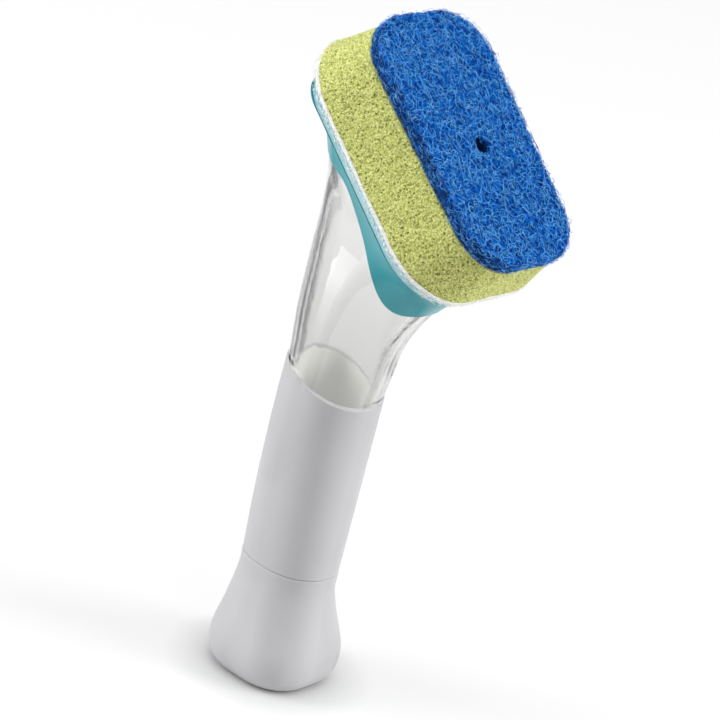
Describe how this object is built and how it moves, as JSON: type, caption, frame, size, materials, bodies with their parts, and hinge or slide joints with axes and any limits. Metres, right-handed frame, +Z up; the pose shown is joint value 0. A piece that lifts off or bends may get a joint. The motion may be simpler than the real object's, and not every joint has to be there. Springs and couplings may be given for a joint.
{
  "type": "dish wand",
  "caption": "Soap-filled dish wand with a clear handle, a soft grip, an unscrewing end cap and a slide-on sponge refill with a scouring pad.",
  "frame": {"origin": "on the flat base of the end cap, on the handle's axis", "axes": "+Z up along the handle's axis, +X towards the side that the sponge faces, +Y across the sponge; XZ is the plane of symmetry"},
  "size_m": [0.0814, 0.0666, 0.2252],
  "materials": {
    "soft_grey": "matte soft touch",
    "core_plastic": "matte",
    "seal_rubber": "matte",
    "clear_plastic": "clear, polished",
    "teal_plastic": "satin",
    "valve_silicone": "translucent silicone",
    "plate_plastic": "satin",
    "white_fibre": "fuzzy fibre",
    "green_foam": "fine open-cell foam",
    "blue_fibre": "non-woven fibre"
  },
  "bodies": {
    "cap": {"end_cap": "soft_grey", "cap_core": "core_plastic"},
    "seal": {"cap_seal": "seal_rubber"},
    "handle": {"reservoir": "clear_plastic", "grip_sleeve": "soft_grey", "head_housing": "teal_plastic", "outlet_seal": "seal_rubber", "outlet_valve": "valve_silicone", "valve_retainer": "core_plastic"},
    "refill": {"refill_plate": "plate_plastic", "backing_layer": "white_fibre", "foam_sponge": "green_foam", "scouring_pad": "blue_fibre"}
  },
  "joints": [
    {"name": "thread_rise", "type": "slide", "parent": "cap", "child": "seal", "axis": [0, 0, 1], "range_m": [0, 0.008]},
    {"name": "cap_turn", "type": "hinge", "parent": "seal", "child": "handle", "pos_m": [0, 0, 0], "axis": [0, 0, 1], "range_deg": [0, 720]},
    {"name": "refill_slide", "type": "slide", "parent": "handle", "child": "refill", "axis": [-0.7587, 0, 0.6514], "range_m": [0, 0.0285]}
  ],
  "couplings": [
    {"joint": "thread_rise", "follows": "cap_turn", "m_per_rad": 0.0006366}
  ]
}
